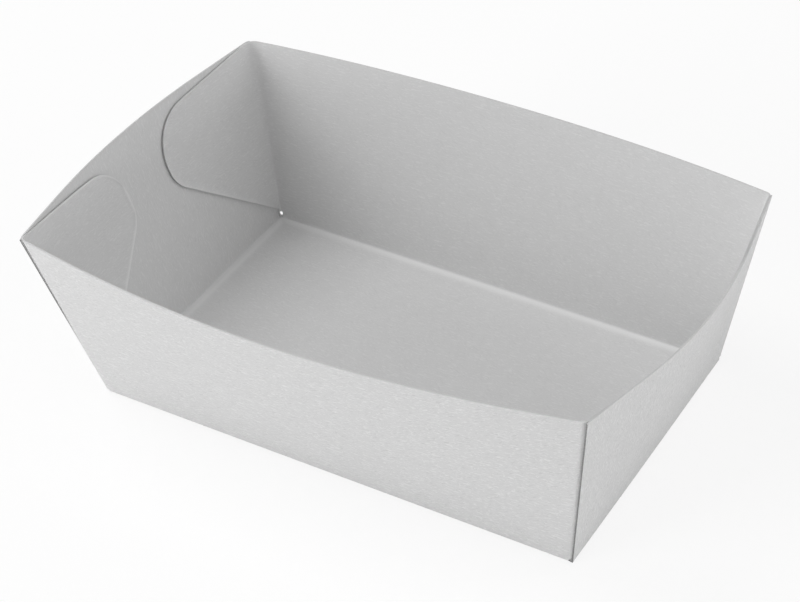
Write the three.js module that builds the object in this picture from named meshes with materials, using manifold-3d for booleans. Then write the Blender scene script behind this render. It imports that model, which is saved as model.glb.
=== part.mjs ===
// A takeaway tray folded from one die-cut piece of board. The base and the two long walls carry a glue
// flap at each of the four corners. The flaps turn in behind the two end walls, which fold up outside
// them. All four walls lean out and their rims belly. Lengths in millimetres, +Z up, +X along the tray,
// the origin on the table under the middle of the base.

import * as THREE from 'three';
import { mergeVertices } from 'three/addons/utils/BufferGeometryUtils.js';
import Module from 'manifold-3d';

const wasm = await Module();
wasm.setup();
const { Manifold, Mesh } = wasm;

// The base panel, crease to crease, and the board
const BASE_LENGTH = 140;
const BASE_WIDTH = 83.5;
const BOARD = 0.4;

// The walls: the rim's height at the corners and how far each wall has moved out by then
const CORNER_HEIGHT = 53.5;
const SIDE_FLARE = 8.9;
const END_FLARE = 9.8;

// How far the rims belly out in their middle, and the length beside each corner that stays straight
const SIDE_BELLY = 7.2;
const SIDE_STRAIGHT = 4;
const END_BELLY = 6.7;
const END_STRAIGHT = 22.5;

// The folds: the setback of a base fold and of a corner fold, and the swelling on a fold's inside
const BASE_FOLD = 1;
const CORNER_FOLD = 1.2;
const CREASE_SWELL = 0.25;

// A glue flap: where its foot leaves the corner fold, the slopes of its two long edges, how far it
// reaches in from the long crease, the two rounds of its nose, and its step down below the rim
const FLAP_FOOT = 3;
const FLAP_FOOT_SLOPE = 40.7;
const FLAP_TOP_SLOPE = 6.4;
const FLAP_REACH = 33;
const NOSE_TOP_ROUND = 14.5;
const NOSE_FOOT_ROUND = 10;
const FLAP_STEP = 0.4;

// An end wall's cut side edge stands this far proud of the long wall
const EDGE_PROUD = 0.3;

// The relief hole punched where the creases cross, at each corner of the base
const RELIEF_RADIUS = 0.9;

// How far inside its crease an end wall's strip takes over from the base, how far a cut runs past, and
// the largest step that is smoothed away where cuts cross
const END_STRIP = 4;
const OVERCUT = 5;
const SLIVER = 0.01;

// Facets along a long wall, along an end wall, up a wall, round a fold and round a nose or a hole
const SIDE_STEPS = 20;
const END_STEPS = 14;
const RISE_STEPS = 4;
const FOLD_STEPS = 4;
const ROUND_STEPS = 12;

const HALF_LENGTH = BASE_LENGTH / 2;
const HALF_WIDTH = BASE_WIDTH / 2;
const FOLD_TOP = BASE_FOLD / CORNER_HEIGHT;

const SIDE = {
  half: HALF_LENGTH,
  spread: END_FLARE,
  stand: HALF_WIDTH,
  flare: SIDE_FLARE,
  belly: SIDE_BELLY,
  straight: SIDE_STRAIGHT,
  steps: SIDE_STEPS,
};
const END = {
  half: HALF_WIDTH,
  spread: SIDE_FLARE,
  stand: HALF_LENGTH,
  flare: END_FLARE,
  belly: END_BELLY,
  straight: END_STRAIGHT,
  steps: END_STEPS,
};

// The belly of a rim at a share u of its half length: 1 in the middle, a parabola that runs out into
// straight lines near the corners, 0 at the corners.
function bellyShare(wall, u) {
  const bend = 1 - wall.straight / (wall.half + wall.spread);
  const k = 1 / (2 * bend - bend * bend);
  const a = Math.abs(u);
  return a <= bend ? 1 - k * a * a : 2 * k * bend * (1 - a);
}

// A point of a wall's flap-side surface: u runs from -1 to 1 along the wall and t from 0 at the crease
// to 1 at the rim. The panel keeps its height, so where it leans out further its rim comes down.
function wallPoint(wall, u, t) {
  const panel = Math.hypot(wall.flare, CORNER_HEIGHT);
  const lean = wall.flare + wall.belly * bellyShare(wall, u);
  const rise = Math.sqrt(panel * panel - lean * lean);
  return [u * (wall.half + wall.spread * t), wall.stand + lean * t, rise * t];
}

function sidePoint(u, t) {
  const [along, out, up] = wallPoint(SIDE, u, t);
  return new THREE.Vector3(along, -out, up);
}

function endPoint(u, t) {
  const [along, out, up] = wallPoint(END, u, t);
  return new THREE.Vector3(out, along, up);
}

// The stations along a wall at height t, from one corner fold to the other
function stations(wall, t) {
  const reach = 1 - CORNER_FOLD / (wall.half + wall.spread * t);
  return Array.from({ length: wall.steps + 1 }, (_, i) => reach * (2 * i / wall.steps - 1));
}

// The inner points of a soft fold from one panel to the next about a sharp corner
function foldPoints(from, corner, to) {
  const curve = new THREE.QuadraticBezierCurve3(from, corner, to);
  return curve.getPoints(FOLD_STEPS).slice(1, -1);
}

// One level of the tray's outside, anticlockwise from above: the front wall, a corner fold, the right
// end, a corner fold, and the same again turned half round.
function level(t) {
  const front = stations(SIDE, t).map((u) => sidePoint(u, t));
  const end = stations(END, t).map((u) => endPoint(u, t));
  const turned = front.map((p) => new THREE.Vector3(-p.x, -p.y, p.z));
  const frontCorner = new THREE.Vector3(
    HALF_LENGTH + END_FLARE * t,
    -HALF_WIDTH - SIDE_FLARE * t,
    CORNER_HEIGHT * t,
  );
  const backCorner = new THREE.Vector3(frontCorner.x, -frontCorner.y, frontCorner.z);
  const half = [
    ...front,
    ...foldPoints(front.at(-1), frontCorner, end[0]),
    ...end,
    ...foldPoints(end.at(-1), backCorner, turned[0]),
  ];
  return [...half, ...half.map((p) => new THREE.Vector3(-p.x, -p.y, p.z))];
}

// The heights of the rows up a wall, as shares of its panel
const RISE = Array.from({ length: RISE_STEPS + 1 }, (_, k) => FOLD_TOP + (1 - FOLD_TOP) * k / RISE_STEPS);

// The outward direction at a point of a grid of rows
function facing(rows, j, i, closed) {
  const row = rows[j];
  const n = row.length;
  const next = closed ? row[(i + 1) % n] : row[Math.min(i + 1, n - 1)];
  const last = closed ? row[(i + n - 1) % n] : row[Math.max(i - 1, 0)];
  const above = rows[Math.min(j + 1, rows.length - 1)][i];
  const below = rows[Math.max(j - 1, 0)][i];
  const along = new THREE.Vector3().subVectors(next, last);
  const up = new THREE.Vector3().subVectors(above, below);
  return along.cross(up).normalize();
}

// The board's other face: the grid moved through its thickness, with its flat rows kept flat
function moved(rows, distances, flatRows, closed) {
  return rows.map((row, j) => row.map((p, i) => {
    const out = j < flatRows ? new THREE.Vector3(0, 0, -1) : facing(rows, j, i, closed);
    return p.clone().addScaledVector(out, distances[j]);
  }));
}

// The swelling across a fold's rows, nothing on the rows that lie in the panels
function swelling(firstFoldRow, rowCount) {
  return Array.from({ length: rowCount }, (_, j) => {
    const share = (j - firstFoldRow) / FOLD_STEPS;
    return share > 0 && share < 1 ? CREASE_SWELL * Math.sin(Math.PI * share) : 0;
  });
}

function toSolid(points, triangles) {
  const vertProperties = new Float32Array(points.flatMap((p) => [p.x, p.y, p.z]));
  return new Manifold(new Mesh({ numProp: 3, vertProperties, triVerts: new Uint32Array(triangles) }));
}

function geometryToSolid(geometry) {
  geometry.deleteAttribute('normal');
  geometry.deleteAttribute('uv');
  const welded = mergeVertices(geometry, 1e-5);
  return new Manifold(new Mesh({
    numProp: 3,
    vertProperties: new Float32Array(welded.attributes.position.array),
    triVerts: new Uint32Array(welded.index.array),
  }));
}

// Two triangles for each cell of a grid whose points are counted row by row from a first index
function gridTriangles(first, rowCount, n, closed, flipped) {
  const triangles = [];
  const cells = closed ? n : n - 1;
  for (let j = 0; j < rowCount - 1; j += 1) {
    for (let i = 0; i < cells; i += 1) {
      const a = first + j * n + i;
      const b = first + j * n + (i + 1) % n;
      const c = b + n;
      const d = a + n;
      if (flipped) triangles.push(a, c, b, a, d, c);
      else triangles.push(a, b, c, a, c, d);
    }
  }
  return triangles;
}

// A band between two lines of point indices, closed into a loop where asked
function band(lower, upper, closed) {
  const triangles = [];
  const n = lower.length;
  for (let i = 0; i < (closed ? n : n - 1); i += 1) {
    const k = (i + 1) % n;
    triangles.push(lower[i], lower[k], upper[k], lower[i], upper[k], upper[i]);
  }
  return triangles;
}

// The base, the long walls and the flap layer, first as one open tub
function buildTub() {
  const crease = level(0);
  const wallRows = RISE.map((t) => level(t));
  const floor = crease.map((p) => new THREE.Vector3(
    p.x * (HALF_LENGTH - BASE_FOLD) / HALF_LENGTH,
    p.y * (HALF_WIDTH - BASE_FOLD) / HALF_WIDTH,
    0,
  ));
  const folds = floor.map((p, i) => foldPoints(p, crease[i], wallRows[0][i]));
  const foldRows = Array.from({ length: FOLD_STEPS - 1 }, (_, k) => folds.map((points) => points[k]));
  const outer = [floor, ...foldRows, ...wallRows];
  const thickness = swelling(0, outer.length).map((swell) => -BOARD - swell);
  const inner = moved(outer, thickness, 1, true);

  const n = floor.length;
  const rows = outer.length;
  const count = rows * n;
  const points = [...outer.flat(), ...inner.flat(), new THREE.Vector3(0, 0, 0), new THREE.Vector3(0, 0, BOARD)];
  const ringAt = (start) => Array.from({ length: n }, (_, i) => start + i);
  const triangles = [
    ...gridTriangles(0, rows, n, true, false),
    ...gridTriangles(count, rows, n, true, true),
    ...band(ringAt(count - n), ringAt(2 * count - n), true),
  ];
  for (let i = 0; i < n; i += 1) {
    const k = (i + 1) % n;
    triangles.push(2 * count, k, i);
    triangles.push(2 * count + 1, count + i, count + k);
  }
  return toSolid(points, triangles);
}

// The right end wall with its fold and a strip of the base. Its inner face lies on the flaps' outer
// face, point for point, and its ends run past the corner folds to the cut side edges.
function buildEndWall() {
  const edge = (t) => 1 + EDGE_PROUD / (HALF_WIDTH + SIDE_FLARE * t);
  const across = (t) => [-edge(t), ...stations(END, t), edge(t)];
  const wallRows = RISE.map((t) => across(t).map((u) => endPoint(u, t)));

  // The fold starts as wide as the base between its two long folds and opens to the full wall
  const seat = BOARD / CORNER_HEIGHT;
  const squeeze = (HALF_WIDTH - BASE_FOLD) / endPoint(edge(0), 0).y;
  const corner = across(0).map((u) => {
    const p = endPoint(u, 0);
    return new THREE.Vector3(HALF_LENGTH + END_FLARE * seat, p.y * squeeze, BOARD);
  });
  const start = corner.map((p) => new THREE.Vector3(p.x - (BASE_FOLD - BOARD), p.y, BOARD));
  const strip = corner.map((p) => new THREE.Vector3(HALF_LENGTH - END_STRIP, p.y, BOARD));
  const folds = start.map((p, i) => foldPoints(p, corner[i], wallRows[0][i]));
  const foldRows = Array.from({ length: FOLD_STEPS - 1 }, (_, k) => folds.map((points) => points[k]));
  const face = [strip, start, ...foldRows, ...wallRows];
  const outer = moved(face, face.map(() => BOARD), 2, false);
  const inner = moved(face, swelling(1, face.length).map((swell) => -swell), 2, false);

  const n = strip.length;
  const rows = face.length;
  const count = rows * n;
  const points = [...outer.flat(), ...inner.flat()];
  const rowAt = (start0) => Array.from({ length: n }, (_, i) => start0 + i);
  const columnAt = (start0) => Array.from({ length: rows }, (_, j) => start0 + j * n);
  const triangles = [
    ...gridTriangles(0, rows, n, false, false),
    ...gridTriangles(count, rows, n, false, true),
    ...band(rowAt(count - n), rowAt(2 * count - n), false),
    ...band(rowAt(count), rowAt(0), false),
    ...band(columnAt(count + n - 1), columnAt(n - 1), false),
    ...band(columnAt(0), columnAt(count), false),
  ];
  return toSolid(points, triangles);
}

// Rounds the corner of an outline: a straight line to the tangent point, then the arc
function roundTo(path, from, corner, to, radius) {
  const back = new THREE.Vector2().subVectors(from, corner).normalize();
  const on = new THREE.Vector2().subVectors(to, corner).normalize();
  const halfAngle = Math.acos(back.dot(on)) / 2;
  const centre = corner.clone().add(back.clone().add(on).setLength(radius / Math.sin(halfAngle)));
  const tangent = radius / Math.tan(halfAngle);
  const first = corner.clone().addScaledVector(back, tangent).sub(centre).angle();
  const last = corner.clone().addScaledVector(on, tangent).sub(centre).angle();
  path.absarc(centre.x, centre.y, radius, first, last, back.cross(on) > 0);
}

// What is cut from the flap layer at one end, drawn as seen along the tray: the space between the two
// flaps, over their tops and under their feet.
function buildFlapCut() {
  const foot = new THREE.Vector2(HALF_WIDTH - BASE_FOLD, FLAP_FOOT);
  const top = new THREE.Vector2(HALF_WIDTH + SIDE_FLARE - CORNER_FOLD, CORNER_HEIGHT - FLAP_STEP);
  const nose = HALF_WIDTH - FLAP_REACH;
  const footSlope = THREE.MathUtils.degToRad(FLAP_FOOT_SLOPE);
  const topSlope = THREE.MathUtils.degToRad(FLAP_TOP_SLOPE);
  const noseFoot = new THREE.Vector2(nose, foot.y + (foot.x - nose) * Math.tan(footSlope));
  const noseTop = new THREE.Vector2(nose, top.y - (top.x - nose) * Math.tan(topSlope));

  // The two rounds share the nose's height, and give way together where it is short
  const taken = NOSE_FOOT_ROUND * Math.tan((Math.PI / 2 - footSlope) / 2)
    + NOSE_TOP_ROUND * Math.tan((Math.PI / 2 - topSlope) / 2);
  const fit = Math.min(1, 0.99 * (noseTop.y - noseFoot.y) / taken);

  const right = new THREE.Path();
  right.moveTo(foot.x, -OVERCUT);
  right.lineTo(foot.x, foot.y);
  roundTo(right, foot, noseFoot, noseTop, fit * NOSE_FOOT_ROUND);
  roundTo(right, noseFoot, noseTop, top, fit * NOSE_TOP_ROUND);
  right.lineTo(top.x, top.y);
  right.lineTo(top.x, CORNER_HEIGHT + OVERCUT);
  const edge = right.getPoints(ROUND_STEPS);
  const mirrored = edge.map((p) => new THREE.Vector2(-p.x, p.y)).reverse();
  const shape = new THREE.Shape([...edge, ...mirrored]);

  const depth = END_STRIP + END_FLARE + END_BELLY + OVERCUT;
  const cut = new THREE.ExtrudeGeometry(shape, { depth, bevelEnabled: false });
  const turn = new THREE.Matrix4().makeBasis(
    new THREE.Vector3(0, 1, 0),
    new THREE.Vector3(0, 0, 1),
    new THREE.Vector3(1, 0, 0),
  );
  cut.applyMatrix4(turn);
  cut.translate(HALF_LENGTH - END_STRIP, 0, 0);
  return geometryToSolid(cut);
}

// A punch for one relief hole, over the crossing of the creases
function buildRelief(side, end) {
  const punch = new THREE.CylinderGeometry(RELIEF_RADIUS, RELIEF_RADIUS, 2 * FLAP_FOOT, ROUND_STEPS);
  punch.rotateX(Math.PI / 2);
  punch.translate(end * (HALF_LENGTH - BASE_FOLD / 2), side * (HALF_WIDTH - BASE_FOLD / 2), 0);
  return geometryToSolid(punch);
}

const halfTurn = (solid) => solid.rotate([0, 0, 180]);

const flapCut = buildFlapCut();
const endWall = buildEndWall();
const folded = buildTub()
  .subtract(flapCut)
  .subtract(halfTurn(flapCut))
  .add(endWall)
  .add(halfTurn(endWall));

let board = folded;
for (const side of [-1, 1]) {
  for (const end of [-1, 1]) {
    board = board.subtract(buildRelief(side, end));
  }
}

// The finished board as a mesh, without the slivers that the cuts leave
board = board.simplify(SLIVER);
const result = board.getMesh();
const geometry = new THREE.BufferGeometry();
geometry.setAttribute('position', new THREE.BufferAttribute(Float32Array.from(result.vertProperties), 3));
geometry.setIndex(new THREE.BufferAttribute(Uint32Array.from(result.triVerts), 1));
geometry.computeVertexNormals();

const paperBoard = new THREE.MeshStandardMaterial({ color: 0xd3d2d0, roughness: 0.85, metalness: 0 });
const tray = new THREE.Mesh(geometry, paperBoard);
tray.name = 'folded_tray';

const part = new THREE.Group();
part.name = 'paper_food_tray';
part.add(tray);

export default part;
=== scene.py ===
import math

import bpy
import numpy as np
from mathutils import Matrix, Vector


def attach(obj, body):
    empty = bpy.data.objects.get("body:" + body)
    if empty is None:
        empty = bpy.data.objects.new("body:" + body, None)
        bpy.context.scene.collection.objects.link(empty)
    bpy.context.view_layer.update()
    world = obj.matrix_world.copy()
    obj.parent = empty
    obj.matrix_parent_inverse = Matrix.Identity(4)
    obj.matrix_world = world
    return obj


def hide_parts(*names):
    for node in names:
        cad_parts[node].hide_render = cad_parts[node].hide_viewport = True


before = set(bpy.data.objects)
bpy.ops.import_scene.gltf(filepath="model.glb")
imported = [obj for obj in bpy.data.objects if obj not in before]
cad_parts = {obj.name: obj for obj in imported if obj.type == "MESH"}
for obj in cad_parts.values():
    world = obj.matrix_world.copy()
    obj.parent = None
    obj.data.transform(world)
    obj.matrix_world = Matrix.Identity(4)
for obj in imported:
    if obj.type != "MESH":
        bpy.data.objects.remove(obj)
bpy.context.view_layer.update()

scene = bpy.context.scene
scene.view_settings.view_transform = "Standard"


# The camera
# A long lens on a stand in front of the tray's right-hand corner, looking down into it and tipped a
# little to the left. Its place was worked out from where the tray's corners lie in the picture.

# Its place as angles round the tray and a distance in metres, then moved a little across its view
picture_width = 800
camera_azimuth = math.radians(33.819)
camera_elevation = math.radians(38.459)
camera_tilt = math.radians(-4.319)
camera_distance = 0.6185
camera_focal_pixels = 2370.1
camera_aim = Vector((0.0, 0.0, 0.020))
camera_slide = Vector((0.00161, -0.0043))
sensor_width = 36.0

back = Vector((
    math.sin(camera_azimuth) * math.cos(camera_elevation),
    -math.cos(camera_azimuth) * math.cos(camera_elevation),
    math.sin(camera_elevation),
))
right = Vector((0, 0, 1)).cross(back).normalized()
up = back.cross(right)
level_view = Matrix((right, up, back))
tilted_view = Matrix.Rotation(-camera_tilt, 3, "Z") @ level_view

camera_data = bpy.data.cameras.new("camera")
camera_data.sensor_width = sensor_width
camera_data.lens = camera_focal_pixels / picture_width * sensor_width
camera_data.clip_start = 0.01
camera_data.clip_end = 50
camera = bpy.data.objects.new("camera", camera_data)
scene.collection.objects.link(camera)
offset = Vector((camera_slide.x, camera_slide.y, -camera_distance))
camera_place = camera_aim - tilted_view.transposed() @ offset
camera.matrix_world = Matrix.Translation(camera_place) @ tilted_view.transposed().to_4x4()
scene.camera = camera


# The folded tray
# One sheet of pale paper board, 0.4 mm thick, die-cut, creased and folded up. The long walls end in
# flaps that turn in at the corners and are glued to the inside of the two end walls.
# Its sizes are in millimetres.

mm = 0.001

# The corners, as the end (-1 left, 1 right) and the side (-1 front, 1 back) that meet there
front_left = (-1, -1)
back_left = (-1, 1)
back_right = (1, 1)
front_right = (1, -1)
tray_corners = (front_left, back_left, back_right, front_right)

# The base, the board and the height of the rim at the corners
base_length = 140.0
base_width = 83.5
board = 0.4
corner_height = 53.5

# How far the rim leans out at the corners, how far it bellies out between them, and how much of it
# runs straight next to a corner
side_flare = 8.9
side_belly = 7.2
side_straight = 4.0
end_flare = 9.8
end_belly = 6.7
end_straight = 22.5
back_wall_bulge = 1.8

# How far from the sharp edge a fold begins: tight at the base, opening towards the rim at a corner
base_fold = 1.0
corner_fold_low = 0.9
corner_fold_high = {front_left: 1.4, back_left: 2.6, back_right: 1.2, front_right: 1.5}

# Along a base crease the inside of the board is swollen, and its surface is broken and paler
crease_swell = 0.42
crease_swell_width = 2.0
score_width = 1.5

# How far each corner of the rim sits off the true shape, after the tray was handled
rim_warp = {
    front_left: (-1.21, -0.93, -0.49),
    back_left: (0.39, 0.06, 0.90),
    back_right: (-0.60, -0.08, -0.78),
    front_right: (-0.35, 0.60, 1.50),
}

# How far each corner of the base sits off the true shape: its creases aren't quite parallel
base_warp = {
    front_left: (1.0, -0.75, 0.0),
    back_left: (0.0, 2.0, 0.0),
    back_right: (-0.45, 0.3, 0.0),
    front_right: (0.7, -0.4, 0.0),
}

half_length = base_length / 2
half_width = base_width / 2
flat_x = half_length - base_fold
flat_y = half_width - base_fold
fold_top = base_fold / corner_height
panel_height = math.hypot(side_flare, corner_height)

# The mesh: short steps next to a crease, growing to even ones, with the rise as a share of the height
crease_step = 0.25
step_growth = 1.3
even_step_along = 1.6
even_step_across = 1.5
first_rise = 0.006
even_rise = 0.027
fold_steps = 8
corner_steps = 6


def belly_share(u, half, straight):
    """How far the rim has bellied out: 1 in the middle of a wall, down to 0 at its two ends."""
    bend = 1 - straight / half
    k = 1 / (2 * bend - bend * bend)
    a = np.abs(u)
    return np.where(a <= bend, 1 - k * a * a, 2 * k * bend * (1 - a))


def warped(points, u, t, first, last):
    """Moves a wall's points with the corners at its two ends, at the base and at the rim."""
    share = (u + 1) / 2
    low = np.multiply.outer(1 - share, base_warp[first]) + np.multiply.outer(share, base_warp[last])
    high = np.multiply.outer(1 - share, rim_warp[first]) + np.multiply.outer(share, rim_warp[last])
    return points + low * (1 - t[..., None]) + high * t[..., None]


def long_wall(side, u, t):
    """The outer face of a long wall: side -1 in front, 1 at the back; u along it, t up to the rim."""
    lean = side_flare + side_belly * belly_share(u, half_length + end_flare, side_straight)
    rise = np.sqrt(panel_height * panel_height - lean * lean)
    rounding = 4 * t * (1 - t) * (1 - u * u)
    bulge = (back_wall_bulge if side > 0 else 0) * rounding
    x = u * (half_length + end_flare * t)
    y = side * (half_width + lean * t + bulge)
    points = np.stack((x, y, rise * t), -1)
    return warped(points, u, t, (-1, side), (1, side))


def end_wall(end, u, t):
    """The inner face of an end wall, on which the flaps lie: end -1 left, 1 right; u across it."""
    panel = math.hypot(end_flare, corner_height)
    lean = end_flare + end_belly * belly_share(u, half_width + side_flare, end_straight)
    rise = np.sqrt(panel * panel - lean * lean)
    x = end * (half_length + lean * t)
    y = u * (half_width + side_flare * t)
    points = np.stack((x, y, rise * t), -1)
    return warped(points, u, t, (end, -1), (end, 1))


def steps(length, first, growth, even):
    """Distances from a crease: short steps first, growing to even ones that end on the length."""
    marks = [0.0]
    step = first
    while step < even and marks[-1] + step < length / 2:
        marks.append(marks[-1] + step)
        step *= growth
    count = max(1, round((length - marks[-1]) / even))
    rest = np.linspace(marks[-1], length, count + 1)[1:]
    return np.concatenate((marks, rest))


def both_ways(half, first, growth, even):
    """Stations from -half to half, close together near both ends."""
    inward = steps(half, first, growth, even)
    return np.concatenate((inward - half, (half - inward)[-2::-1]))


def facing(points, flip):
    """Outward directions over a grid of points."""
    along = np.gradient(points, axis=1)
    upward = np.gradient(points, axis=0)
    out = np.cross(along, upward)
    out /= np.linalg.norm(out, axis=-1, keepdims=True)
    return -out if flip else out


def corner_setback(end, side, t):
    """How far from the sharp corner a corner fold begins, at a share t of the wall's height."""
    return corner_fold_low + (corner_fold_high[end, side] - corner_fold_low) * t


def soft_fold(start, corner, finish, s):
    """A fold as a curve from start to finish that turns towards the sharp corner, at a share s."""
    return (1 - s) ** 2 * start + 2 * s * (1 - s) * corner + s * s * finish


def open_grid(rows, columns):
    """The indices of a panel's points before any is shared with another panel."""
    return np.full((rows, columns), -1)


class Blank:
    """The board as pairs of points, one on each face, joined into cells panel by panel."""

    def __init__(self):
        self.outer = []
        self.inner = []
        self.flat = []
        self.crease_and_highlight = []
        self.cells = []

    def panel(self, outer, inner, flat, flip, joined, crease_and_highlight):
        """Adds a grid of points, except where joined holds an index, and the cells between them."""
        index = joined.copy()
        fresh = index < 0
        index[fresh] = len(self.outer) + np.arange(fresh.sum())
        self.outer.extend(outer[fresh])
        self.inner.extend(inner[fresh])
        self.flat.extend(flat[fresh])
        self.crease_and_highlight.extend(crease_and_highlight[fresh])
        a, b = index[:-1, :-1].ravel(), index[:-1, 1:].ravel()
        c, d = index[1:, 1:].ravel(), index[1:, :-1].ravel()
        cells = np.stack((a, d, c, b) if flip else (a, b, c, d), -1)
        self.cells.extend(cells)
        return index


blank = Blank()
x_marks = both_ways(flat_x, crease_step, step_growth, even_step_along)
y_marks = both_ways(flat_y, crease_step, step_growth, even_step_across)
rise_marks = fold_top + (1 - fold_top) * steps(1.0, first_rise, step_growth, even_rise)

# The base, flat underneath and swollen towards its creases on top
base_x, base_y = np.meshgrid(x_marks, y_marks)
base_low = np.stack((base_x, base_y, 0 * base_x), -1)
for (end, side), shift in base_warp.items():
    share = (1 + end * base_x / half_length) * (1 + side * base_y / half_width) / 4
    base_low += share[..., None] * np.array(shift)
to_crease = np.minimum(flat_x - np.abs(base_x), flat_y - np.abs(base_y))
swelling = crease_swell * np.exp(-((to_crease / crease_swell_width) ** 2))
base_high = base_low + np.stack((0 * base_x, 0 * base_x, board + swelling), -1)
base_flat = np.stack((base_x, base_y), -1)
base_scored = np.exp(-((to_crease / score_width) ** 2))
base_index = blank.panel(base_low, base_high, base_flat, True, open_grid(*base_x.shape), base_scored)

# A wall's rows are those of its fold and then its own; straight_up is 1 where the fold has ended
fold_rows = np.linspace(0, 1, fold_steps + 1)[:-1]
fold_shares = fold_rows[:, None, None]
straight_up = np.concatenate((fold_rows, np.ones(len(rise_marks))))
creased = 1 - straight_up ** 2
up_the_sheet = np.concatenate((fold_rows * 2 * base_fold - base_fold, rise_marks * panel_height))

# The long walls with their folds
wall_index = {}
for side in (-1, 1):
    edge_row = 0 if side < 0 else -1
    left, right = (
        1 - corner_setback(end, side, rise_marks) / (half_length + end_flare * rise_marks)
        for end in (-1, 1))
    u = np.where(x_marks < 0, left[:, None], right[:, None]) * x_marks / flat_x
    t = np.repeat(rise_marks[:, None], len(x_marks), 1)
    wall = long_wall(side, u, t)
    u_crease = (x_marks / flat_x * (1 - corner_fold_low / half_length))[None]
    corner = long_wall(side, u_crease, np.zeros_like(u_crease))
    fold = soft_fold(base_low[edge_row][None], corner, wall[:1], fold_shares)
    outer = np.concatenate((fold, wall))
    flip = side > 0
    out = facing(outer, flip)
    out[0] = (0, 0, -1)
    swell = crease_swell * creased ** 2
    inner = outer - out * (board + swell)[:, None, None]
    along = outer[..., 0]
    flat = np.stack((along, side * (half_width + up_the_sheet[:, None] + 0 * along)), -1)
    joined = open_grid(*along.shape)
    joined[0] = base_index[edge_row]
    crease_and_highlight = np.repeat(creased[:, None], len(x_marks), 1)
    wall_index[side] = blank.panel(outer, inner, flat, flip, joined, crease_and_highlight)

# How far the side edges of the end walls stand out past the long walls, at the foot and at the rim
edge_proud_low = {front_left: -0.6, back_left: 0.1, back_right: 0.1, front_right: 0.1}
edge_proud_high = -0.1

# How far the tips of the end walls have been rubbed down, and over what width
tip_wear = 0.3
tip_wear_width = 0.9

# The end walls with their folds and their cut side edges. Each fold starts on the swollen top of the
# base, so the swelling of the crease is counted from there.
end_index = {}
for end in (-1, 1):
    edge_column = 0 if end < 0 else -1
    front, rear = (
        1 + (edge_proud_low[end, side] * (1 - rise_marks) + edge_proud_high * rise_marks)
        / (half_width + side_flare * rise_marks) for side in (-1, 1))
    u = np.where(y_marks < 0, front[:, None], rear[:, None]) * y_marks / flat_y
    to_tip = (1 - np.abs(y_marks / flat_y)) * (half_width + side_flare)
    worn = tip_wear / corner_height * np.exp(-((to_tip / tip_wear_width) ** 2))
    t = rise_marks[:, None] * (1 - worn)
    wall = end_wall(end, u, t)
    corner = end_wall(end, u[:1], np.full_like(u[:1], board / corner_height))
    fold = soft_fold(base_high[:, edge_column][None], corner, wall[:1], fold_shares)
    middle = np.concatenate((fold, wall))
    flip = end < 0
    out = facing(middle, flip)
    out[0] = (0, 0, -1)
    swell = crease_swell * (creased ** 2 - (1 - straight_up))
    outer = middle + out * board
    inner = middle - out * swell[:, None, None]
    across = middle[..., 1]
    flat = np.stack((end * (half_length + up_the_sheet[:, None] + 0 * across), across), -1)
    joined = open_grid(*across.shape)
    joined[0] = base_index[:, edge_column]
    crease_and_highlight = np.repeat(creased[:, None], len(y_marks), 1)
    end_index[end] = blank.panel(outer, inner, flat, flip, joined, crease_and_highlight)

# The glue flaps, drawn as seen along the tray. The front left one reaches a little further, with a
# tighter nose.
flap_foot = 1.7
flap_foot_slope = math.radians(41.6)
flap_top_slope = math.radians(6.1)
flap_reach = {front_left: 34.2, back_left: 32.5, back_right: 32.5, front_right: 32.5}
nose_top_round = {front_left: 11.0, back_left: 14.0, back_right: 14.0, front_right: 14.0}
nose_foot_round = 9.0

# How far a flap stands off the end wall: the glue, its spring towards the nose, and its curled edge
glue_gap = 0.01
flap_spring = 0.08
flap_curl = {front_left: 0.34, back_left: 0.26, back_right: 0.05, front_right: 0.05}
flap_curl_width = 0.9

# How much paler each flap's edge is painted on its inside, a painted highlight along the edge
flap_edge_painted_highlight = {front_left: 1.0, back_left: 0.35, back_right: 0.35, front_right: 0.35}
flap_edge_width = 0.65

# The mesh of a flap: its columns, which lie closer together towards the nose, the gap that the last
# one leaves there, and the share of the reach within which the rows spread towards the two edges
flap_columns = 46
nose_gap = 0.015
row_spread = 0.25

# The foot edge slopes, so a point is nearer to it than the drop straight down
foot_nearness = 0.8

corner_shares = np.linspace(0, 1, corner_steps + 1)[None]
foot_row = int(np.argmin(np.abs(rise_marks * corner_height - flap_foot)))


def corner_fold(end, side):
    """The board where it turns a corner, from the long wall to the root of the flap."""
    setback = corner_setback(end, side, rise_marks)
    long_u = end * (1 - setback / (half_length + end_flare * rise_marks))
    short_u = side * (1 - setback / (half_width + side_flare * rise_marks))
    start = long_wall(side, long_u, rise_marks)[:, None]
    finish = end_wall(end, short_u, rise_marks)[:, None]
    corner = long_wall(side, end * np.ones_like(rise_marks), rise_marks)[:, None]
    arc = soft_fold(start, corner, finish, corner_shares[..., None])
    flip = end * side > 0
    run = half_length + end_flare * rise_marks[:, None] + 2 * setback[:, None] * corner_shares
    rise = (rise_marks * panel_height)[:, None]
    flat = np.stack((end * run, side * (half_width + rise + 0 * run)), -1)
    joined = open_grid(*run.shape)
    joined[:, 0] = wall_index[side][fold_steps:, 0 if end < 0 else -1]
    index = blank.panel(arc, arc - facing(arc, flip) * board, flat, flip, joined, 0 * run)
    return arc, index


def rounded(line, y, centre, radius, sign, limit):
    """A flap edge: its straight line, or the round of the nose past the tangent point."""
    inside = np.clip(radius * radius - (y - centre[0]) ** 2, 0, None)
    arc = centre[1] + sign * np.sqrt(inside)
    return np.where(y < limit, arc, line)


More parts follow.
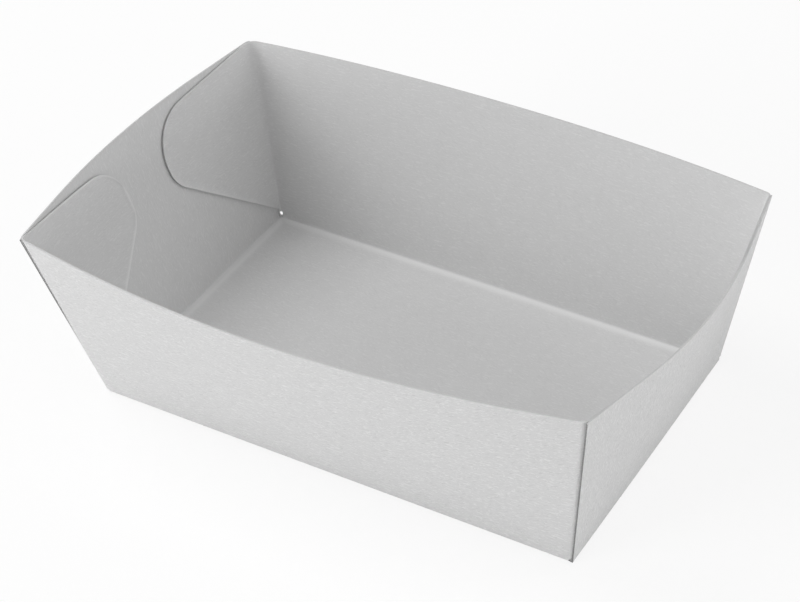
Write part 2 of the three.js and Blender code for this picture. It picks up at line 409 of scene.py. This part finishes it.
def flap_edges(y, root_y, foot_z, top_z, nose, top_round, foot_round):
    """The lowest and highest point of the flap at a distance y from the tray's middle."""
    foot_line = foot_z + (root_y - y) * math.tan(flap_foot_slope)
    top_line = top_z - (root_y - y) * math.tan(flap_top_slope)
    foot_corner = foot_z + (root_y - nose) * math.tan(flap_foot_slope)
    top_corner = top_z - (root_y - nose) * math.tan(flap_top_slope)
    foot_turn = (math.pi / 2 - flap_foot_slope) / 2
    top_turn = (math.pi / 2 - flap_top_slope) / 2
    foot_centre = (nose + foot_round, foot_corner + foot_round * math.tan(foot_turn))
    top_centre = (nose + top_round, top_corner - top_round * math.tan(top_turn))
    foot_limit = nose + foot_round * math.tan(foot_turn) * math.cos(flap_foot_slope)
    top_limit = nose + top_round * math.tan(top_turn) * math.cos(flap_top_slope)
    low = rounded(foot_line, y, foot_centre, foot_round, -1, foot_limit)
    high = rounded(top_line, y, top_centre, top_round, 1, top_limit)
    return low, high


def glue_flap(end, side, arc, arc_index):
    """The flap at the end of a corner fold, which it leaves above its foot."""
    marks = rise_marks[foot_row:]
    foot_y, top_y = abs(arc[foot_row, -1, 1]), abs(arc[-1, -1, 1])
    foot_z, top_z = marks[0] * corner_height, marks[-1] * corner_height
    nose = half_width - flap_reach[end, side]
    rounds = (nose, nose_top_round[end, side], nose_foot_round)
    tip = nose + nose_gap
    reach_share = np.sin(np.linspace(0, math.pi / 2, flap_columns))[None]
    foot_run = foot_y + (tip - foot_y) * reach_share
    top_run = top_y + (tip - top_y) * reach_share
    low, _ = flap_edges(foot_run, foot_y, foot_z, top_z, *rounds)
    _, high = flap_edges(top_run, top_y, foot_z, top_z, *rounds)

    # The rows start as the corner fold's and spread to lie close together along both edges
    spread = np.clip(reach_share / row_spread, 0, 1)
    at_root = (marks - marks[0]) / (marks[-1] - marks[0])
    at_nose = 0.5 - 0.5 * np.cos(math.pi * np.linspace(0, 1, len(marks)))
    share = at_root[:, None] * (1 - spread) + at_nose[:, None] * spread
    y = foot_run + (top_run - foot_run) * share
    t = (low + (high - low) * share) / corner_height
    u = side * y / (half_width + side_flare * t)
    lie = end_wall(end, u, t)
    flip = end * side > 0
    out = facing(lie, flip)

    edge_near = np.minimum(np.minimum(share * foot_nearness, 1 - share) * (high - low), y - tip)
    curl = flap_curl[end, side] * np.exp(-((edge_near / flap_curl_width) ** 2))
    lift = (flap_spring * reach_share + curl) * spread
    outer = lie - out * (lift + glue_gap)[..., None]
    inner = lie - out * (lift + glue_gap + board)[..., None]
    run = (half_length + end_flare * t) + 2 * corner_setback(end, side, t) + np.abs(y - foot_y)
    flat = np.stack((end * run, side * (half_width + t * panel_height)), -1)
    joined = open_grid(*run.shape)
    joined[:, 0] = arc_index[foot_row:, -1]
    # The painted highlight along a flap's edges, growing in from its root
    painted_highlight = flap_edge_painted_highlight[end, side] * np.exp(-((edge_near / flap_edge_width) ** 2)) * spread
    blank.panel(outer, inner, flat, flip, joined, painted_highlight)


for end, side in tray_corners:
    arc, arc_index = corner_fold(end, side)
    glue_flap(end, side, arc, arc_index)

# Below its relief hole each corner is closed by crushed board
first_crushed = {}
for end, side in tray_corners:
    first_crushed[end, side] = len(blank.cells)
    along_side = wall_index[side][:fold_steps + 1, 0 if end < 0 else -1]
    along_end = end_index[end][:fold_steps + 1, 0 if side < 0 else -1]
    for k in range(fold_steps):
        a, b, c, d = along_side[k], along_end[k], along_end[k + 1], along_side[k + 1]
        blank.cells.append((a, b, c, d) if end * side < 0 else (a, d, c, b))

# The crushed board at the front right corner gets painted shade, as dark as the cut edge above it
cells = np.array(blank.cells)
painted_shade_cells = np.zeros(len(cells), bool)
painted_shade_cells[first_crushed[front_right]:first_crushed[front_right] + fold_steps] = True

# The relief hole that is punched at the foot of each corner fold: its radius, how far up the slope of
# the wall it lies, and how far in from the sharp corner, as a share of the fold
relief_radius = {front_left: 0.45, back_left: 0.8, back_right: 0.8, front_right: 0.5}
relief_height = {front_left: 1.9, back_left: 1.9, back_right: 1.9, front_right: 0.9}
relief_inset = 0.35

# Where a point is before its nearest hole is known: farther off than any hole
out_of_reach = 1000.0


def cut_edges_of(cells):
    """The edges that only one cell has, where the sheet ends."""
    keys = {}
    for k in range(4):
        for a, b in zip(cells[:, k].tolist(), cells[:, (k + 1) % 4].tolist()):
            if a != b:
                keys[a, b] = True
    return [(a, b) for a, b in keys if (b, a) not in keys]


outer_points = np.array(blank.outer)
inner_points = np.array(blank.inner)
away = np.full((len(outer_points), 3), out_of_reach)
radius = np.zeros(len(outer_points))
for end, side in tray_corners:
    t_hole = np.array([relief_height[end, side] / panel_height])
    u_hole = np.array([end * (1 - relief_inset * corner_fold_low / half_length)])
    centre = long_wall(side, u_hole, t_hole)[0]
    from_hole = (outer_points + inner_points) / 2 - centre
    nearer = np.linalg.norm(from_hole, axis=1) < np.linalg.norm(away, axis=1)
    away[nearer] = from_hole[nearer]
    radius[nearer] = relief_radius[end, side]
distance = np.linalg.norm(away, axis=1)
stays = distance[cells].mean(axis=1) > radius[cells].mean(axis=1)
cells, painted_shade_cells = cells[stays], painted_shade_cells[stays]

# Where two gaps would touch at one point, the cell between them nearest the hole goes too
pinched = [0]
while len(pinched):
    points, times = np.unique([a for a, _ in cut_edges_of(cells)], return_counts=True)
    pinched = points[times > 1]
    for point in pinched:
        beside = np.nonzero((cells == point).any(axis=1))[0]
        nearest = beside[np.argmin(distance[cells[beside]].mean(axis=1))]
        cells, painted_shade_cells = np.delete(cells, nearest, axis=0), np.delete(painted_shade_cells, nearest)

# Points left inside a hole move out to its round edge
inside = distance < radius
push = away[inside] * (radius[inside] / distance[inside] - 1)[:, None]
outer_points[inside] += push
inner_points[inside] += push

# The painted shade on the cut edge of the front left seam fades out below, between these shares of the
# wall's height
seam_fade_from = 0.6
seam_fade_to = 0.3

# The cut side edges of the end walls are the seams that show at the tray's corners, painted dark as
# the shade in the gap beside each corner fold
seam_point = np.zeros(len(outer_points), bool)
for end in (-1, 1):
    side_edges = end_index[end][fold_steps:, [0, -1]]
    seam_point[side_edges] = True
seam_pale = np.zeros(len(outer_points))
fading = np.clip((seam_fade_from - rise_marks) / (seam_fade_from - seam_fade_to), 0, 1)
seam_pale[end_index[-1][fold_steps:, 0]] = fading

# The points that the holes took away go, and the rest are counted again
kept = np.zeros(len(outer_points), bool)
kept[cells.ravel()] = True
cells = (np.cumsum(kept) - 1)[cells]
outer_points, inner_points = outer_points[kept], inner_points[kept]
flat_points = np.array(blank.flat)[kept]
crease_and_highlight_points = np.array(blank.crease_and_highlight)[kept]
seam_point, seam_pale = seam_point[kept], seam_pale[kept]

# Both faces and the cut edges between them become one closed mesh
count = len(outer_points)
cut_edges = cut_edges_of(cells)
outer_faces = [tuple(dict.fromkeys(cell)) for cell in cells.tolist()]
inner_faces = [tuple(i + count for i in face[::-1]) for face in outer_faces]
edge_faces = [(b, a, a + count, b + count) for a, b in cut_edges]
faces = outer_faces + inner_faces + edge_faces
points = np.concatenate((outer_points, inner_points)) * mm

tray_mesh = bpy.data.meshes.new("tray_board")
tray_mesh.from_pydata(points.tolist(), [], faces)
tray_mesh.validate()

# Where the board turns more sharply than this it shows an edge, and elsewhere it is smooth
sharp_from = math.radians(38)
tray_mesh.polygons.foreach_set("use_smooth", np.ones(len(faces), bool))
tray_mesh.set_sharp_from_angle(angle=sharp_from)

# The order of the tray's materials, and which faces have which
board_face, board_cut, board_seam_painted_shade = 0, 1, 2
seam_edge = np.array([seam_point[a] and seam_point[b] for a, b in cut_edges])
material_of_face = np.full(len(faces), board_face, np.int32)
material_of_face[:len(cells)][painted_shade_cells] = board_seam_painted_shade
material_of_face[2 * len(cells):] = np.where(seam_edge, board_seam_painted_shade, board_cut)
tray_mesh.polygons.foreach_set("material_index", material_of_face)

# Each point keeps its place on the flat sheet, with the inner face set apart by its third number,
# and how much paler it is: broken by a crease, at the foot of the front left seam, and along the flap
# edges, where the paling is a painted highlight
inner_sheet = 40.0
sheet = np.zeros((2 * count, 3), np.float32)
sheet[:count, :2] = flat_points
sheet[count:, :2] = flat_points
sheet[count:, 2] = inner_sheet
sheet_place = tray_mesh.attributes.new("sheet_place", "FLOAT_VECTOR", "POINT")
sheet_place.data.foreach_set("vector", sheet.ravel())
paling_and_highlight = np.concatenate((seam_pale, np.maximum(crease_and_highlight_points, seam_pale)))
paling_and_highlight_share = tray_mesh.attributes.new("paling_and_highlight_share", "FLOAT", "POINT")
paling_and_highlight_share.data.foreach_set("value", paling_and_highlight.astype(np.float32))

tray_board = bpy.data.objects.new("tray_board", tray_mesh)
scene.collection.objects.link(tray_board)


class Socket:
    """A shader value that adds its Math nodes as an expression is written."""

    def __init__(self, nodes, socket):
        self.nodes = nodes
        self.socket = socket

    def _math(self, operation, a, b):
        return self.nodes.add("ShaderNodeMath", {"operation": operation}, {0: a, 1: b})

    def __add__(self, other):
        return self._math("ADD", self, other)

    def __radd__(self, other):
        return self._math("ADD", other, self)

    def __sub__(self, other):
        return self._math("SUBTRACT", self, other)

    def __rsub__(self, other):
        return self._math("SUBTRACT", other, self)

    def __mul__(self, other):
        return self._math("MULTIPLY", self, other)

    def __rmul__(self, other):
        return self._math("MULTIPLY", other, self)

    def between(self, low, high):
        """0 at low, 1 at high, smooth between them."""
        return self.nodes.add(
            "ShaderNodeMapRange", {"interpolation_type": "SMOOTHSTEP", "clamp": True},
            {"Value": self, "From Min": low, "From Max": high}, "Result")


class Nodes:
    """The node tree of one material or world."""

    def __init__(self, owner):
        owner.use_nodes = True
        self.tree = owner.node_tree
        self.tree.nodes.clear()

    def add(self, kind, settings, sockets, output=0):
        """Adds a node, sets it, gives its sockets values or links, and returns one of its outputs."""
        node = self.tree.nodes.new(kind)
        for key, value in settings.items():
            setattr(node, key, value)
        for key, value in sockets.items():
            if isinstance(value, Socket):
                self.tree.links.new(value.socket, node.inputs[key])
            else:
                node.inputs[key].default_value = value
        return Socket(self, node.outputs[output]) if node.outputs else None

    def attribute(self, name, output):
        return self.add("ShaderNodeAttribute", {"attribute_name": name}, {}, output)

    def stretched(self, place, stretch):
        return self.add("ShaderNodeVectorMath", {"operation": "MULTIPLY"}, {0: place, 1: stretch})

    def tint(self, share, first, second):
        return self.add("ShaderNodeMix", {"data_type": "RGBA"},
                        {"Factor": share, "A": first, "B": second}, "Result")

    def noise(self, place, scale, detail, roughness, distortion=0.0):
        return self.add("ShaderNodeTexNoise", {"noise_dimensions": "3D"}, {
            "Vector": place, "Scale": scale, "Detail": detail,
            "Roughness": roughness, "Distortion": distortion,
        }, "Fac")


def grey(value):
    return (value, value, value, 1)


def board_material(name, light, dark, pale_fibre, dark_fibre, paled_and_highlight_grey):
    """Uncoated board: pulp between two greys, paler and darker fibres in it, broken paler along a
    crease, with a painted highlight along the flap edges.
    """
    material = bpy.data.materials.new(name)
    nodes = Nodes(material)
    place = nodes.attribute("sheet_place", "Vector")
    paling_and_highlight_share = nodes.attribute("paling_and_highlight_share", "Fac")

    # Clouds of denser and thinner pulp, a few millimetres across, and the fine grain of the sheet
    clouds = nodes.noise(place, scale=0.22, detail=4.0, roughness=0.6)
    grain = nodes.noise(place, scale=3.2, detail=3.0, roughness=0.65)

    # Short fibres that lie in the sheet, one family along the machine direction and one askew. Each
    # is a noise that is squeezed across its run and drawn out along it.
    along = nodes.stretched(place, (0.42, 2.6, 1.0))
    bent = nodes.noise(along, scale=1.0, detail=2.0, roughness=0.55, distortion=0.7)
    askew_angle = 0.5
    turned = nodes.add("ShaderNodeVectorRotate", {"rotation_type": "Z_AXIS"},
                       {"Vector": place, "Angle": askew_angle}, "Vector")
    across = nodes.stretched(turned, (0.5, 2.8, 1.0))
    askew = nodes.noise(across, scale=1.1, detail=2.0, roughness=0.55, distortion=0.7)

    # Small pale flecks of pulp
    flecked = nodes.stretched(place, (0.8, 1.9, 1.0))
    flecks = nodes.noise(flecked, scale=1.3, detail=1.0, roughness=0.5, distortion=0.3)

    # The inner face is the smoother one, and shows its fibres only half as strongly
    inner_fibres = 0.5
    depth = nodes.add("ShaderNodeSeparateXYZ", {}, {"Vector": place}, "Z")
    shown = 1 - depth * ((1 - inner_fibres) / inner_sheet)

    # What each of them covers, and how strongly
    pulp = clouds.between(0.25, 0.75) * 0.5 + grain * 0.5
    pale_fibres = bent.between(0.56, 0.66) * shown * 0.9
    dark_fibres = askew.between(0.57, 0.68) * shown * 0.8
    pale_flecks = flecks.between(0.61, 0.69) * shown * 0.8
    # Paler where a crease broke the surface, and along the flap edges, where the same paling is a
    # painted highlight
    uneven_paling_and_highlight = paling_and_highlight_share * (0.55 + grain * 0.9)
    colour = nodes.tint(pulp, grey(dark), grey(light))
    colour = nodes.tint(pale_fibres, colour, grey(pale_fibre))
    colour = nodes.tint(dark_fibres, colour, grey(dark_fibre))
    colour = nodes.tint(pale_flecks, colour, grey(pale_fibre))
    colour = nodes.tint(uneven_paling_and_highlight.between(0.0, 1.1), colour, grey(paled_and_highlight_grey))

    # The sheet is matt, and its fibres stand out by a few hundredths of a millimetre
    height = grain * 0.5 + bent * 0.6 + askew * 0.5 + clouds * 0.3
    bump = nodes.add("ShaderNodeBump", {}, {
        "Strength": 0.35, "Distance": 0.06 * mm, "Height": height,
    }, "Normal")
    shader = nodes.add("ShaderNodeBsdfPrincipled", {}, {
        "Base Color": colour, "Roughness": 0.78 + grain * 0.12, "Normal": bump,
        "Specular IOR Level": 0.25,
    })
    nodes.add("ShaderNodeOutputMaterial", {}, {"Surface": shader})
    return material


tray_mesh.materials.append(board_material(
    "board_face", light=0.695, dark=0.66, pale_fibre=0.79, dark_fibre=0.59, paled_and_highlight_grey=0.80))
tray_mesh.materials.append(board_material(
    "board_cut", light=0.66, dark=0.56, pale_fibre=0.74, dark_fibre=0.46, paled_and_highlight_grey=0.66))
# The seam material is painted shade: a dark grey for the shadowed gap at the corners, with pale fibres
# in it
tray_mesh.materials.append(board_material(
    "board_seam_painted_shade", light=0.26, dark=0.14, pale_fibre=0.62, dark_fibre=0.10, paled_and_highlight_grey=0.68))

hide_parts("folded_tray")
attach(tray_board, "root")


# The table
# A flat sheet of white paper that the tray stands on, far wider than the picture. It catches the
# tray's soft shadow, and most of what the camera sees of it is plain white.

# In metres. The sheet lies a hair below the tray's underside, so that the two surfaces stay apart.
table_half = 3.0
table_drop = 0.0001
table_white_share = 0.84
table_mesh = bpy.data.meshes.new("table")
table_mesh.from_pydata(
    [(-table_half, -table_half, 0), (table_half, -table_half, 0),
     (table_half, table_half, 0), (-table_half, table_half, 0)],
    [], [(0, 1, 2, 3)])
table = bpy.data.objects.new("table", table_mesh)
scene.collection.objects.link(table)
table.location.z = -table_drop

table_paper = bpy.data.materials.new("table_paper")
paper = Nodes(table_paper)
seen = paper.add("ShaderNodeLightPath", {}, {}, "Is Camera Ray")
lit_paper = paper.add("ShaderNodeBsdfPrincipled", {}, {
    "Base Color": paper.tint(seen, grey(0.9), grey(1.0)),
    "Roughness": 0.9, "Specular IOR Level": 0.1,
})
plain_white = paper.add("ShaderNodeEmission", {}, {"Color": grey(1), "Strength": 1.0})
surface = paper.add("ShaderNodeMixShader", {}, {
    0: seen * table_white_share, 1: lit_paper, 2: plain_white,
})
paper.add("ShaderNodeOutputMaterial", {}, {"Surface": surface})
table_mesh.materials.append(table_paper)


# The studio light
# A dim, even room and seven soft square panels round and above the tray, all facing it. The strongest
# are low in front on the left and high on the left, and a small one on the right grazes the table.

room_light = 0.2
room = bpy.data.worlds.new("room")
air = Nodes(room)
seen = air.add("ShaderNodeLightPath", {}, {}, "Is Camera Ray")
dim = air.add("ShaderNodeBackground", {}, {"Color": grey(1), "Strength": room_light})
bright = air.add("ShaderNodeBackground", {}, {"Color": grey(1), "Strength": 1.0})
sky = air.add("ShaderNodeMixShader", {}, {0: seen, 1: dim, 2: bright})
air.add("ShaderNodeOutputWorld", {}, {"Surface": sky})
scene.world = room

panel_aim = Vector((0, 0, 0.03))


def soft_panel(name, place, size, power):
    """A square lamp, with its place and size in metres and its power in watts."""
    data = bpy.data.lights.new(name, "AREA")
    data.shape = "SQUARE"
    data.size = size
    data.energy = power
    lamp = bpy.data.objects.new(name, data)
    lamp.location = place
    lamp.rotation_euler = (panel_aim - lamp.location).to_track_quat("-Z", "Y").to_euler()
    scene.collection.objects.link(lamp)


soft_panel("panel_front_low", place=(-0.79, -1.37, 0.42), size=0.8, power=10.7)
soft_panel("panel_front_high", place=(-0.69, -1.20, 0.83), size=0.8, power=3.7)
soft_panel("panel_left", place=(-0.92, 0.0, 1.34), size=0.8, power=8.6)
soft_panel("panel_right_low", place=(1.58, 0.0, 0.42), size=0.8, power=5.0)
soft_panel("panel_right_floor", place=(1.58, 0.0, 0.1), size=0.16, power=2.8)
soft_panel("panel_back_right", place=(0.98, 0.98, 0.83), size=0.8, power=4.1)
soft_panel("panel_top", place=(0.0, 0.0, 1.6), size=1.2, power=3.9)
